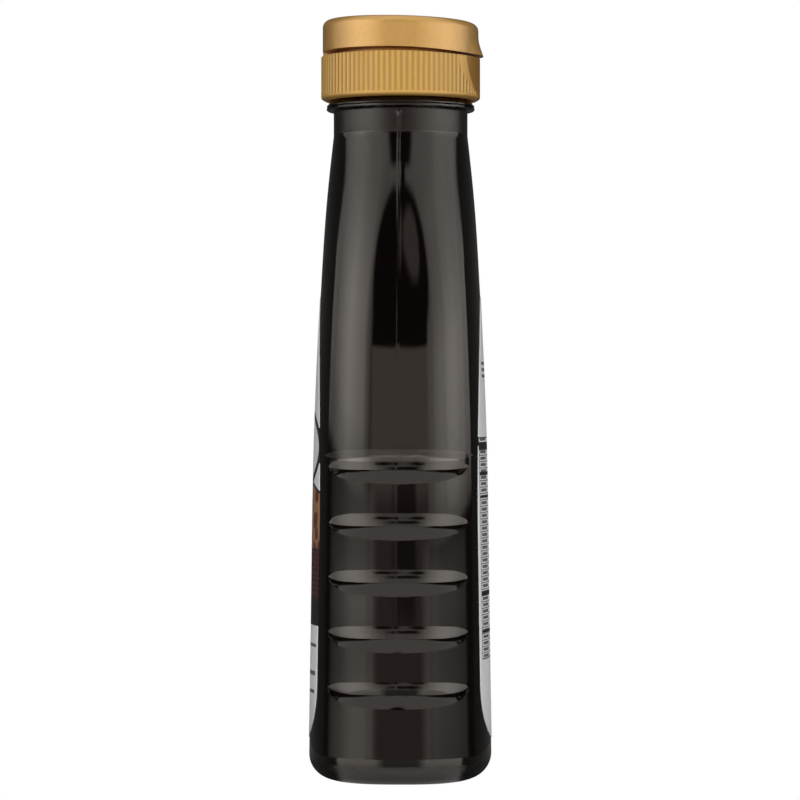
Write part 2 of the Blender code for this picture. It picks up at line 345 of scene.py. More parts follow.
def make_syrup_fill():
    """The inside of the wall, reaching a little into it, up to a flat top in the neck."""
    angles = np.linspace(0, 2 * math.pi, 160, endpoint=False)
    inset = WALL - SYRUP_INTO_WALL
    heel = HEEL_RADIUS - inset
    up = np.concatenate((
        inset + heel * (1 - np.cos(np.linspace(0, math.pi / 2, 7))),
        np.linspace(0.007, 0.018, 6),
        np.linspace(0.020, 0.084, 30),
        np.linspace(0.086, NECK_BOTTOM, 36),
    ))[:, None]
    drawn = inset + heel_inset(up - inset, heel)
    side = around(body_reach(up, angles, drawn, grip_inset(up)), angles, up)
    bore = BORE_RADIUS + SYRUP_INTO_WALL
    neck = circles(((bore, RING_BOTTOM), (bore, FILL_LEVEL), (bore * 0.6, FILL_LEVEL)), angles)
    base = floor_rings(body_reach(inset, angles, inset + heel), angles, inset)
    return np.concatenate((base, side, neck))


def under_lip(from_lip):
    """1 on the lip's side of the cap, fading to 0 round the front and the back."""
    return 1 - smooth_step((np.abs(from_lip) - DROOP_START) / (DROOP_END - DROOP_START))


def make_cap_base():
    """A skirt whose ribs are a cosine round the axis, left out in the half-oval thumb panel, and
    whose top dips a little under the lip. On top is the low seat under the lid, which runs out
    to the skirt's edge at the hinge."""
    angles = np.linspace(0, 2 * math.pi, RIB_COUNT * 8, endpoint=False)
    up = np.concatenate((
        np.linspace(RIB_BOTTOM, RIB_BOTTOM + 2 * RIB_DEPTH, 5),
        np.linspace(RIB_BOTTOM + 3 * RIB_DEPTH, RIB_TOP, 30),
    ))[:, None]
    from_lip = np.abs(np.arctan2(np.sin(angles - math.pi / 2), np.cos(angles - math.pi / 2)))
    top = CAP_TOP - SKIRT_DIP * under_lip(from_lip)
    tall = up + (top - CAP_TOP) * (up - RIB_BOTTOM) / (RIB_TOP - RIB_BOTTOM)
    drop = (CAP_TOP - tall) / PANEL_DROP
    out = ((from_lip / PANEL_HALF_ANGLE) ** PANEL_POWER + drop**PANEL_POWER) ** (1 / PANEL_POWER)
    panel = smooth_step((1 + PANEL_EDGE - out) / (2 * PANEL_EDGE))
    ends = smooth_step((up - RIB_BOTTOM) / (2 * RIB_DEPTH))
    valley = (1 - np.cos(RIB_COUNT * angles)) / 2
    radii = CAP_RADIUS - RIB_DEPTH * ends * valley * (1 - panel)
    ribbed = around(radii, angles, tall)
    under = circles((
        (CAP_BORE / 2, CAP_DECK), (CAP_BORE, CAP_DECK), (CAP_BORE, CAP_BOTTOM),
        (CAP_RADIUS - 0.0012, CAP_BOTTOM), (CAP_RADIUS - 0.0009, CAP_BOTTOM + 0.00008),
        (CAP_RADIUS - 0.0005, CAP_BOTTOM + 0.0003), (CAP_RADIUS - 0.0001, CAP_BOTTOM + 0.0006),
        (CAP_RADIUS, CAP_BOTTOM + 0.0009), (CAP_RADIUS, RIB_BOTTOM - 0.00005),
    ), angles)
    rim = around(CAP_RADIUS - RIB_DEPTH - 0.0003, angles, top - 0.00005)[None]
    from_hinge = math.pi - from_lip
    near_hinge = smooth_step(2 - from_hinge / HINGE_HALF_ANGLE)
    seat_radius = SEAT_RADIUS + (LID_RADIUS - 0.0001 - SEAT_RADIUS) * near_hinge
    seat_top = CAP_TOP + LID_GAP - 0.00005 - LID_GAP_SLOPE * seat_radius * np.sin(angles)
    seat = np.stack((
        around(seat_radius, angles, top), around(seat_radius, angles, seat_top),
        around(seat_radius - 0.0008, angles, seat_top), around(CAP_BORE / 2, angles, CAP_TOP),
    ))
    return np.concatenate((under, ribbed, rim, seat))


def make_lid():
    """A low drum with a quarter-round top edge, whose underside and top fall a little towards
    the lip, and whose lower edge is drawn down there and out into the thumb lip."""
    angles = np.linspace(0, 2 * math.pi, 360, endpoint=False)
    from_lip = np.arctan2(np.sin(angles - math.pi / 2), np.cos(angles - math.pi / 2))
    lip = np.clip(1 - (from_lip / LIP_HALF_ANGLE) ** 2, 0, None) ** 2
    share = np.linspace(0, 1, 24)[:, None]
    bottom = CAP_TOP + LID_GAP
    side_top = LID_TOP - LID_EDGE_RADIUS
    heights = bottom + (side_top - bottom) * share
    near = np.clip(1 - (heights - bottom) / LIP_HEIGHT, 0, None) ** 2
    flare, droop = LIP_OUT * lip * near, LID_DROOP * under_lip(from_lip) * near**2
    slopes = LID_GAP_SLOPE + (LID_TOP_SLOPE - LID_GAP_SLOPE) * share
    radii = LID_RADIUS + flare
    side = around(radii, angles, heights - slopes * radii * np.sin(angles) - droop)
    turn = np.linspace(0, math.pi / 2, 9)[1:, None]
    edge_radius = LID_RADIUS - LID_EDGE_RADIUS * (1 - np.cos(turn))
    edge_height = side_top + LID_EDGE_RADIUS * np.sin(turn)
    edge = around(edge_radius, angles, edge_height - LID_TOP_SLOPE * edge_radius * np.sin(angles))
    flat = LID_RADIUS * np.array((0.8, 0.4))[:, None]
    top = around(flat, angles, LID_TOP - LID_TOP_SLOPE * flat * np.sin(angles))
    rim = LID_RADIUS - 0.0006 + flare[0]
    under = np.concatenate([
        around(reach, angles, bottom - LID_GAP_SLOPE * reach * np.sin(angles) - drawn * droop[0])[None]
        for reach, drawn in ((LID_RADIUS * 0.5, 0), (rim, 0.4), (LID_RADIUS - 0.0002 + flare[0], 0.9))
    ])
    return np.concatenate((under, side, edge, top))


def label_half_width(heights):
    """Half an ellipse above the spring line, straight sides, and a squarer half oval below."""
    above = np.clip((heights - LABEL_SPRING) / (LABEL_TOP - LABEL_SPRING), 0, 1)
    below = np.clip((LABEL_CORNER - heights) / (LABEL_CORNER - LABEL_BOTTOM), 0, 1)
    head = np.sqrt(1 - above**2)
    foot = (1 - below**LABEL_CORNER_POWER) ** (1 / LABEL_CORNER_POWER)
    return LABEL_HALF_WIDTH * head * foot


def make_label(side):
    """A sheet on the wall: each row runs out across the face and back behind it. The first and
    the last row lie just short of the label's ends, where it would have no width."""
    turn = np.linspace(0, math.pi, 60)
    middle, half = (LABEL_TOP + LABEL_BOTTOM) / 2, (LABEL_TOP - LABEL_BOTTOM) / 2
    heights = (middle - half * 0.9999 * np.cos(turn))[:, None]
    across = np.linspace(-1, 1, 64) * label_half_width(heights)
    width, depth, power = body_half(1, heights), body_half(2, heights), body_power(heights)
    wall = depth * (1 - np.abs(across / width) ** power) ** (1 / power)
    tall = np.broadcast_to(heights, across.shape)
    behind = np.stack((across, side * (wall + LABEL_OFF_WALL), tall), axis=-1)
    face = np.stack((across, side * (wall + LABEL_OFF_WALL + LABEL_THICKNESS), tall), axis=-1)
    rows = np.concatenate((face, behind[:, ::-1]), axis=1)
    return rows if side < 0 else rows[:, ::-1]


# ---------------------------------------------------------------- materials

DARK_SYRUP = (0.0042, 0.0013, 0.0006)
SKIRT_GOLD, LID_GOLD = (0.62, 0.35, 0.078), (0.58, 0.325, 0.085)
# painted shade: a darker gold on the thumb panel, and on the seat deep in the gap under the lid
PANEL_SHADE_GOLD, SEAT_SHADE_GOLD = (0.30, 0.14, 0.015), (0.45, 0.18, 0.02)
VALLEY_SHADE = 0.6  # painted shade: the share of the skirt's gold left down between its ribs
WALL_ROUGHNESS = 0.03, 0.3  # where it's glossy and where it's dull
# In millimetres: where the wall is dull, the middle and radii of the painted shade on the thumb
# panel, and how far from the axis the painted shade on the seat reaches
DULL_NECK_MIDDLE, DULL_NECK_HALF_HEIGHT, DULL_HEEL_TOP, DULL_EDGE = 166.3, 3.0, 5.0, 0.1
PANEL_SHADE_OVAL = (0, 183.2), (11.2, 11.4)
SEAT_SHADE_REACH = 19.0


def new_material(name, values):
    """A material, its node tree and its shader, which has these constant values."""
    made = bpy.data.materials.new(name)
    made.use_nodes = True
    tree = made.node_tree
    shader = tree.nodes["Principled BSDF"]
    for socket, value in values.items():
        shader.inputs[socket].default_value = value
    return made, tree, shader


def calc(tree, operation, *values):
    """A Math node over sockets or numbers."""
    node = tree.nodes.new("ShaderNodeMath")
    node.operation = operation
    for socket, value in zip(node.inputs, values):
        if isinstance(value, (int, float)):
            socket.default_value = value
        else:
            tree.links.new(value, socket)
    return node.outputs[0]


def place(tree):
    """Object coordinates: the vector, and its three parts in millimetres."""
    where = tree.nodes.new("ShaderNodeTexCoord").outputs["Object"]
    parts = tree.nodes.new("ShaderNodeSeparateXYZ")
    tree.links.new(where, parts.inputs[0])
    return where, *(calc(tree, "MULTIPLY", part, 1000.0) for part in parts.outputs)


def band(tree, value, low, high):
    """1 where the value lies between the two limits."""
    return calc(tree, "COMPARE", value, (low + high) / 2, (high - low) / 2)


def row_at(tree, z, middle, height):
    """1 in the level row of this middle and height."""
    return band(tree, z, middle - height / 2, middle + height / 2)


def oval(tree, x, z, middle, radii):
    """1 where ((x - middle) / radius) squared plus the same for z is under 1."""
    total = None
    for value, centre, radius in zip((x, z), middle, radii):
        share = calc(tree, "DIVIDE", calc(tree, "SUBTRACT", value, centre), radius)
        square = calc(tree, "MULTIPLY", share, share)
        total = square if total is None else calc(tree, "ADD", total, square)
    return calc(tree, "LESS_THAN", total, 1.0)


def both(tree, first, second):
    """The part that two shapes share."""
    return calc(tree, "MULTIPLY", first, second)


def less(tree, first, second):
    """The first shape with the second cut out of it."""
    return calc(tree, "MULTIPLY", first, calc(tree, "SUBTRACT", 1.0, second))


def paint(tree, under, mask, color):
    """Lays a colour, a plain one or a socket, over the one under it where the mask is 1."""
    mix = tree.nodes.new("ShaderNodeMix")
    mix.data_type = "RGBA"
    tree.links.new(mask, mix.inputs["Factor"])
    for socket, value in ((mix.inputs["A"], under), (mix.inputs["B"], color)):
        if isinstance(value, tuple):
            socket.default_value = (*value, 1)
        else:
            tree.links.new(value, socket)
    return mix.outputs["Result"]


def mottle_group():
    """Cloudy variation: the colour times 1 plus or minus the amount, by a soft noise."""
    group = bpy.data.node_groups.new("mottle", "ShaderNodeTree")
    for name, kind in (("Vector", "NodeSocketVector"), ("Color", "NodeSocketColor"),
                       ("Scale", "NodeSocketFloat"), ("Amount", "NodeSocketFloat")):
        group.interface.new_socket(name, in_out="INPUT", socket_type=kind)
    group.interface.new_socket("Color", in_out="OUTPUT", socket_type="NodeSocketColor")
    given = group.nodes.new("NodeGroupInput").outputs
    result = group.nodes.new("NodeGroupOutput").inputs
    noise = group.nodes.new("ShaderNodeTexNoise")
    noise.inputs["Detail"].default_value = 3.0
    group.links.new(given["Vector"], noise.inputs["Vector"])
    group.links.new(given["Scale"], noise.inputs["Scale"])
    swing = calc(group, "MULTIPLY_ADD", noise.outputs["Fac"], 4.0, -2.0)  # 0.25 to -1, 0.75 to 1
    factor = calc(group, "MULTIPLY_ADD", swing, given["Amount"], 1.0)
    scaled = group.nodes.new("ShaderNodeVectorMath")
    scaled.operation = "SCALE"
    group.links.new(given["Color"], scaled.inputs[0])
    group.links.new(factor, scaled.inputs["Scale"])
    group.links.new(scaled.outputs["Vector"], result["Color"])
    return group


MOTTLE = mottle_group()


def mottled(tree, where, color, scale, amount):
    """The mottle group over a colour, a plain one or a socket."""
    node = tree.nodes.new("ShaderNodeGroup")
    node.node_tree = MOTTLE
    tree.links.new(where, node.inputs["Vector"])
    node.inputs["Scale"].default_value = scale
    node.inputs["Amount"].default_value = amount
    if isinstance(color, tuple):
        node.inputs["Color"].default_value = (*color, 1)
    else:
        tree.links.new(color, node.inputs["Color"])
    return node.outputs["Color"]


def ramp(tree, value, span, levels):
    """Goes straight from the first level to the second over the span, and is level beyond it."""
    node = tree.nodes.new("ShaderNodeMapRange")
    for socket, limit in zip(("From Min", "From Max", "To Min", "To Max"), (*span, *levels)):
        node.inputs[socket].default_value = limit
    tree.links.new(value, node.inputs["Value"])
    return node.outputs["Result"]


def clear_plastic():
    """Glossy, but duller at the neck and the heel."""
    made, tree, shader = new_material("glossy_clear_plastic", {
        "Base Color": (1.0, 0.99, 0.98, 1), "IOR": 1.57, "Transmission Weight": 1.0,
        "Specular Tint": (1.0, 0.945, 0.885, 1),
    })
    *_, z = place(tree)
    from_neck = calc(tree, "ABSOLUTE", calc(tree, "SUBTRACT", z, DULL_NECK_MIDDLE))
    past_neck = calc(tree, "SUBTRACT", from_neck, DULL_NECK_HALF_HEIGHT)
    edge = calc(tree, "MINIMUM", past_neck, calc(tree, "SUBTRACT", z, DULL_HEEL_TOP))
    roughness = ramp(tree, edge, (DULL_EDGE, -DULL_EDGE), WALL_ROUGHNESS)
    tree.links.new(roughness, shader.inputs["Roughness"])
    return made


def syrup_brown():
    """Nearly black brown, a little cloudy."""
    made, tree, shader = new_material("dark_syrup", {"Roughness": 0.3, "IOR": 1.05})
    where, *_ = place(tree)
    cloudy = mottled(tree, where, DARK_SYRUP, scale=60.0, amount=0.4)
    tree.links.new(cloudy, shader.inputs["Base Color"])
    return made


def gold_plastic(name, color, metallic, roughness, coat, ribbed=False):
    """Golden paint. On the ribbed skirt, shade is painted in: darker down between the ribs, on the
    thumb panel and on the seat deep in the gap under the lid."""
    made, tree, shader = new_material(name, {
        "Metallic": metallic, "Roughness": roughness, "Coat Weight": coat, "Coat Roughness": 0.15,
    })
    where, x, y, z = place(tree)
    grain_and_painted_shade = mottled(tree, where, color, scale=900.0, amount=0.05)
    if ribbed:
        squares = calc(tree, "MULTIPLY", x, x), calc(tree, "MULTIPLY", y, y)
        reach = calc(tree, "SQRT", calc(tree, "ADD", *squares))
        # painted shade down between the ribs, found by the distance from the axis
        valley = ramp(tree, reach, ((CAP_RADIUS - RIB_DEPTH) / MM, CAP_RADIUS / MM), (1.0, 0.0))
        grain_and_painted_shade = paint(tree, grain_and_painted_shade, valley, tuple(VALLEY_SHADE * part for part in color))
        # painted shade on the thumb panel: a darker gold in an oval on the lip's side
        panel = both(tree, oval(tree, x, z, *PANEL_SHADE_OVAL), calc(tree, "GREATER_THAN", y, 0))
        grain_and_painted_shade = paint(tree, grain_and_painted_shade, panel, PANEL_SHADE_GOLD)
        # painted shade on the seat deep in the gap under the lid, inside this reach
        grain_and_painted_shade = paint(tree, grain_and_painted_shade, calc(tree, "LESS_THAN", reach, SEAT_SHADE_REACH), SEAT_SHADE_GOLD)
    tree.links.new(grain_and_painted_shade, shader.inputs["Base Color"])
    return made


PAPER_WHITE = (0.80, 0.80, 0.81)
INK_BLACK = (0.010, 0.008, 0.008)
INK_GREY = (0.11, 0.11, 0.11)
FRUIT_TAN, FRUIT_BROWN = (0.30, 0.155, 0.085), (0.085, 0.032, 0.016)
FIELD_RED, STRIPE_RED = (0.030, 0.010, 0.009), (0.085, 0.028, 0.028)
# The front's print in millimetres: ovals as middle and radii, fields as lower and upper edge,
# and bars as middle, height, and where they start and end to either side
RING_OUTER, RING_INNER = ((0, 83.5), (19.2, 10.5)), ((0, 83.5), (17.2, 8.6))
ARCH_OUTER, ARCH_INNER = ((0, 58), (34, 17.8)), ((0, 58), (33.5, 17.0))
ARCH_FIELD, RED_FIELD, STRIPED_FIELD, BLACK_FIELD = (58, 80), (45.5, 58.3), (46.5, 57.5), (39, 45.5)
STRIPE_STEP, STRIPE_SHARE = 1.3, 0.3
FRUIT_SCALE, FRUIT_SIZE = 190.0, 0.42
FRONT_BARS = ((34, 0.8, 4, 18), (27, 1.1, 8, 17.5), (22.4, 0.9, 10, 17))
# The back's print in the same way: the table's frame, the rows, their dashes, bars and lines
FRAME_ROWS, FRAME_HALF_WIDTH = (30.5, 86.3), 17.4
TABLE_ROWS, TABLE_HALF_WIDTH = (30.8, 86.0), 17.1
ROW_STEP, RULE_SHARE, DASH_SHARES, DASH_ENDS = 1.6, 0.16, (0.36, 0.84), (9.5, 16.4)
BACK_BARS = ((84, 2.0), (77.1, 0.9), (71.3, 0.7), (47, 1.3), (37.5, 0.8))
LINE_ROWS, LINE_SHARES, LINE_ENDS = (100.4, 105.6), (0.3, 0.8), (2, 11.5)


def label_paper(name, draw):
    """Slightly glossy paper, printed by the given function, which works in millimetres."""
    made, tree, shader = new_material(name, {"Roughness": 0.42, "Specular IOR Level": 0.4})
    where, x, _, z = place(tree)
    across = calc(tree, "ABSOLUTE", x)
    printed = draw(tree, where, x, across, z)
    paper = mottled(tree, where, printed, scale=2500.0, amount=0.03)
    tree.links.new(paper, shader.inputs["Base Color"])
    return made


def front_print(tree, where, x, across, z):
    """White paper with a black ring, a tan field of brown fruit under a black line, a striped
    dark-red field, a black band, and short grey bars."""
    ring = less(tree, oval(tree, x, z, *RING_OUTER), oval(tree, x, z, *RING_INNER))
    printed = paint(tree, PAPER_WHITE, ring, INK_BLACK)
    above = band(tree, z, *ARCH_FIELD)
    arch = both(tree, oval(tree, x, z, *ARCH_OUTER), above)
    printed = paint(tree, printed, arch, INK_BLACK)
    field = both(tree, oval(tree, x, z, *ARCH_INNER), above)
    printed = paint(tree, printed, field, FRUIT_TAN)
    fruit = tree.nodes.new("ShaderNodeTexVoronoi")
    fruit.inputs["Scale"].default_value = FRUIT_SCALE
    tree.links.new(where, fruit.inputs["Vector"])
    spots = calc(tree, "LESS_THAN", fruit.outputs["Distance"], FRUIT_SIZE)
    printed = paint(tree, printed, both(tree, field, spots), FRUIT_BROWN)
    printed = paint(tree, printed, band(tree, z, *RED_FIELD), FIELD_RED)
    step = calc(tree, "FRACT", calc(tree, "DIVIDE", z, STRIPE_STEP))
    stripes = both(tree, calc(tree, "LESS_THAN", step, STRIPE_SHARE), band(tree, z, *STRIPED_FIELD))
    printed = paint(tree, printed, stripes, STRIPE_RED)
    printed = paint(tree, printed, band(tree, z, *BLACK_FIELD), INK_BLACK)
    for middle, height, *ends in FRONT_BARS:
        bar = both(tree, row_at(tree, z, middle, height), band(tree, across, *ends))
        printed = paint(tree, printed, bar, INK_GREY)
    return printed


def back_print(tree, _where, _x, across, z):
    """White paper with a framed table: thin rows, short dashes at both ends, black bars."""
    within_frame = calc(tree, "LESS_THAN", across, FRAME_HALF_WIDTH)
    within_table = calc(tree, "LESS_THAN", across, TABLE_HALF_WIDTH)
    frame_field = both(tree, band(tree, z, *FRAME_ROWS), within_frame)
    table = both(tree, band(tree, z, *TABLE_ROWS), within_table)
    printed = paint(tree, PAPER_WHITE, less(tree, frame_field, table), INK_BLACK)
    row = calc(tree, "FRACT", calc(tree, "DIVIDE", z, ROW_STEP))
    rules = both(tree, table, calc(tree, "LESS_THAN", row, RULE_SHARE))
    printed = paint(tree, printed, rules, INK_GREY)
    dashes = both(tree, band(tree, row, *DASH_SHARES), band(tree, across, *DASH_ENDS))
    printed = paint(tree, printed, both(tree, table, dashes), INK_GREY)
    for middle, height in BACK_BARS:
        bar = both(tree, row_at(tree, z, middle, height), within_table)
        printed = paint(tree, printed, bar, INK_BLACK)
    lines = both(tree, band(tree, z, *LINE_ROWS), band(tree, row, *LINE_SHARES))
    return paint(tree, printed, both(tree, lines, band(tree, across, *LINE_ENDS)), INK_GREY)


# ---------------------------------------------------------------- pieces

def dress():
    """Each piece's name, shape, look, crease in degrees, the node that it hides, and a slot name."""
    skirt_gold = gold_plastic("gold_skirt", SKIRT_GOLD, metallic=0.12, roughness=0.45, coat=0.3,
                              ribbed=True)
    lid_gold = gold_plastic("gold_lid", LID_GOLD, metallic=0.35, roughness=0.35, coat=0.5)
    pieces = (
        ("bottle_wall", make_bottle_wall(), clear_plastic(), 14, "bottle", "clear_plastic"),
        ("syrup_fill", make_syrup_fill(), syrup_brown(), 50, "syrup", "date_syrup"),
        ("cap_skirt", make_cap_base(), skirt_gold, 50, "cap_base", "gold_plastic_ribbed"),
        ("cap_flip_lid", make_lid(), lid_gold, 60, "cap_lid", "gold_plastic_smooth"),
        ("front_label", make_label(-1), label_paper("front_paper", front_print),
         50, "label_front", "label_paper_front"),
        ("back_label", make_label(1), label_paper("back_paper", back_print),
         50, "label_back", "label_paper_back"),
    )
    for name, grid, look, crease, node, slot in pieces:
        piece = turned(name, grid, look, crease)
        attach(piece, "root")
        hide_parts(node)


# ---------------------------------------------------------------- studio

TENT_RADIUS = 8.0
TENT_WHITE = np.array((1.0, 0.97, 0.94))
CARD_GREY = np.array((1.0, 0.857, 0.81))
# A softbox on either side: degrees from the camera's direction, and how bright
LEFT_ACROSS = ((23, 0), (27, 0.6), (32, 1.1), (37, 1.9), (49, 2.4), (62, 2.9), (69, 2.95), (76, 2.45),
               (84, 2.05), (92, 1.5), (104, 0.85), (117, 0.77), (119, 0))
RIGHT_ACROSS = ((22, 0), (26, 1.0), (31, 1.05), (37, 1.55), (48, 2.0), (55, 2.05), (63, 2.65), (80, 2.65),
                (86, 2.25), (100, 1.7), (107, 1.15), (117, 1.0), (119, 0))
# Up each softbox: degrees above level, and the share of its brightness
LEFT_UP = ((1.8, 0), (2.6, 0.65), (4, 0.74), (6, 0.94), (10, 1.0), (17, 1.0), (20, 0.86), (24, 0.66),
           (28, 0.42), (32, 0.22), (42, 0))
RIGHT_UP = ((-0.5, 0), (0, 0.3), (1, 0.6), (2, 0.8), (4, 0.92), (6, 1.0), (10, 1.0), (13, 0.88), (17, 0.74),
            (20, 0.62), (24, 0.47), (28, 0.36), (32, 0.15), (38, 0))
# The dim tables under the softboxes, across and up in the same way
LEFT_LOW_ACROSS = ((14, 0), (18, 0.2), (23, 0.8), (32, 1.3), (52, 1.3), (64, 1.0), (78, 0.6), (92, 0.4),
                   (104, 0.15), (108, 0))
RIGHT_LOW_ACROSS = ((12, 0), (17, 0.3), (24, 0.62), (33, 0.75), (44, 0.6), (68, 0.5), (82, 0.36),
                    (96, 0.25), (103, 0))
LEFT_LOW_UP = ((-8, 0), (-6.8, 0.95), (-4.7, 0.95), (-3.7, 0.68), (-2.3, 1.05), (-0.8, 0.6), (1.8, 0.5),
               (2.6, 0))
RIGHT_LOW_UP = ((-8, 0), (-6.8, 0.8), (-4.7, 1.0), (-3.6, 0.85), (-2.3, 1.08), (-1, 0.75), (0.5, 0))
# The white boards below the stand: across, and the slopes of the mirrors that show them
BOARDS_ACROSS = ((10, 0.2), (20, 0.33), (28, 0.6), (40, 0.85), (52, 1.0), (66, 1.0), (80, 0.75),
                 (92, 0.42), (104, 0.2), (116, 0))
BOARDS_UP = ((-3, 0.7), (-0.66, 1.2), (-0.6, 1.2), (-0.57, 2.7), (-0.27, 2.7), (-0.245, 0))
# The least light of the tent, twice as much at the rear, and the light of its ceiling
DIM_GLOW, CEILING_GLOW = 0.03, 0.9
# Degrees over which each part of the tent fades: the rear and the card in front, aside; the
# ceiling and its higher part over the rear, above level
REAR_FADE, CARD_FADE, CEILING_FADE, REAR_CEILING_FADE = (115, 120), (22, 26), (16, 38), (50, 60)
# The card in front, up in degrees, and a paler spot above it and a dark one on it: middle and radii
CARD_UP = ((-60, 0.3), (-40, 0.15), (-10, 0.27), (1.5, 0.27), (3, 0.69), (12, 0.7), (12.5, 0))
PALE_SPOT, PALE_SPOT_GLOW = ((10.5, 25), (10, 5)), 0.45
DARK_SPOT, DARK_SPOT_SHADE = ((2, 0.5), (6, 3.5)), 0.8
# The dark gap's ovals: middle, radii and softness
ARCH_OVALS = (((1.5, 22.5), (31, 11.5), 0.1), ((0, 38), (26, 2.9), 0.15), ((4, 34), (3, 3), 0.25))
# Dark streaks on the boards, placed by degrees aside and hundredths of the mirror's slope
STREAKS = (((-13, -42.5), (10, 2.0)), ((12, -42.5), (10, 2.0)), ((3, -48), (14, 2.0)))
# Rings of the base card: how far inside the bottle's outline, height over the floor, light,
# share of it that is missing in the middle, and degrees aside where the card ends
BASE_CARD_RINGS = np.array((
    (0.006, 0.0002, 0.2, 0, 33),
    (0.002, 0.0002, 0.5, 0, 34),
    (0, 0.0002, 0.8, 0, 35),
    (-0.002, 0.0002, 1.0, 0, 38),
    (-0.006, 0.0002, 0.95, 0, 44),
    (-0.008, 0.0002, 1.05, 0.3, 45),
    (-0.010, 0.0002, 1.15, 0.8, 46),
    (-0.013, 0.0002, 1.25, 0.8, 48),
    (-0.013, 0.0052, 1.6, 0.8, 48),
))
CARD_MIDDLE_FADE, CARD_END_FADE, CARD_END_SHADE = (8, 14), 2, 0.94  # degrees, degrees, share
FLOOR_HALF_SIZE = 2.5
# Name, degrees from the camera's direction, degrees above level, the height it points at, the
# light's size and spread, and power in watts
SOFT_LIGHTS = (
    ("front_light", 0, 15, 0.1, 0.5, 180, 16.0),
    ("left_back_light", -142, 12, 0.05, 0.1, 16, 0.065),
    ("right_back_light", 142, 12, 0.05, 0.1, 16, 0.1),
    ("top_light", 0, 89, 0.1, 0.5, 180, 4.0),
)
LIGHT_DISTANCE = 1.4


def fade(value, start, end):
    """0 at the start and 1 at the end, smooth at both."""
    return smooth_step((value - start) / (end - start))


def oval_spot(azimuth, elevation, middle, radii, edge=0.25, power=2):
    """1 inside an oval of the tent's wall and 0 outside, with a soft edge."""
    across = np.abs((azimuth - middle[0]) / radii[0]) ** power
    up = np.abs((elevation - middle[1]) / radii[1]) ** power
    return 1 - fade((across + up) ** (1 / power), 1 - edge, 1 + edge)


def mirror_slope(azimuth, elevation):
    """How steeply a mirror must face up to show this part of the tent to the camera: the rise
    of the direction halfway between the two, over its reach towards the camera."""
    up, level = np.sin(np.radians(elevation)), np.cos(np.radians(elevation))
    return up / (1.0001 + level * np.cos(np.radians(azimuth)))


def tent_glow(azimuth, elevation):
    """The tent's light in each direction: a softbox on either side, a dim ceiling that joins
    them, white boards below, and in front a low card and a dark gap that ends in an arch."""
    aside = np.abs(azimuth)

    def table(across, up):
        """Looks the light up across and up, and multiplies the two."""
        return np.interp(aside, *zip(*across)) * np.interp(elevation, *zip(*up))

    left = table(LEFT_ACROSS, LEFT_UP) + table(LEFT_LOW_ACROSS, LEFT_LOW_UP)
    right = table(RIGHT_ACROSS, RIGHT_UP) + table(RIGHT_LOW_ACROSS, RIGHT_LOW_UP)
    boxes = np.where(azimuth < 0, left, right)
    behind = fade(aside + 1.5 * np.clip(elevation - 12, 0, 10), *REAR_FADE)
    ceiling = CEILING_GLOW * fade(elevation, *CEILING_FADE) * (1 - behind)
    high = CEILING_GLOW * fade(elevation, *REAR_CEILING_FADE) * behind
    arch = np.maximum.reduce([oval_spot(azimuth, elevation, *oval) for oval in ARCH_OVALS])
    light = (boxes * (1 - behind) + ceiling) * (1 - arch) + high
    slope = mirror_slope(azimuth, elevation)
    boards = np.interp(slope, *zip(*BOARDS_UP)) * np.interp(aside, *zip(*BOARDS_ACROSS))
    front = 1 - fade(aside, *CARD_FADE)
    card = front * np.interp(elevation, *zip(*CARD_UP))
    card = card * (1 - DARK_SPOT_SHADE * oval_spot(azimuth, elevation, *DARK_SPOT, edge=0.3, power=4))
    pale = PALE_SPOT_GLOW * oval_spot(azimuth, elevation, *PALE_SPOT)
    for middle, radii in STREAKS:
        streak = oval_spot(azimuth, 100 * slope, middle, radii, edge=0.5)
        boards, card = boards * (1 - streak), card * (1 - streak)
    white = (light + boards)[..., None] + DIM_GLOW + DIM_GLOW * behind[..., None]
    return white * TENT_WHITE + (card + pale)[..., None] * CARD_GREY


def steps(*spans):
    """Numbers from the start of each span up to its end, by its step."""
    return np.concatenate([np.arange(*span) for span in spans])


def make_light_tent():
    """A sphere round the stand, lit from within; the camera looks through it."""
    azimuth = steps((-180, -130, 10), (-130, -124, 2), (-124, 124, 1), (124, 130, 2), (130, 180, 10))
    elevation = steps((-88, -50, 2), (-50, -9, 1), (-9, 14, 0.5), (14, 44, 1), (44, 89, 4))[:, None]
    turn, lift = np.radians(azimuth) + CAMERA_TURN, np.radians(elevation)
    grid = around(TENT_RADIUS * np.cos(lift), turn, CAMERA_HEIGHT + TENT_RADIUS * np.sin(lift))
    made = turned("light_tent", grid, tent_light())
    made.visible_camera = made.visible_diffuse = False
    glow = tent_glow(*np.broadcast_arrays(azimuth, elevation)).reshape(-1, 3)
    paint_glow(made, np.vstack((glow, glow[:1], glow[-1:])))


def make_base_card():
    """A dim card on the floor close round the bottle, with a low upright edge, which only the
    heel mirrors; its outer part is darker towards the camera, and it's dark beyond the sides."""
    inside, height, light, missing, end = BASE_CARD_RINGS.T[..., None]
    angles = np.linspace(0, 2 * math.pi, 120, endpoint=False)
    turn = angles - CAMERA_TURN
    azimuth = np.abs(np.degrees(np.arctan2(np.sin(turn), np.cos(turn))))
    grid = around(body_reach(0.0, angles, inside), angles, height)
    middle = (1 - fade(azimuth, *CARD_MIDDLE_FADE)) * missing
    ends = CARD_END_SHADE * fade(azimuth, end - CARD_END_FADE, end + CARD_END_FADE)
    light = light * (1 - middle) * (1 - ends)
    made = turned("base_card", grid, tent_light(), ends=False)
    made.visible_camera = made.visible_diffuse = made.visible_transmission = False
    paint_glow(made, light.reshape(-1, 1) * TENT_WHITE)


def paint_glow(made, glow):
    """Stores a light colour for each point."""
    stored = made.data.color_attributes.new("glow", "FLOAT_COLOR", "POINT")
    stored.data.foreach_set("color", np.column_stack((glow, np.ones(len(glow)))).ravel())


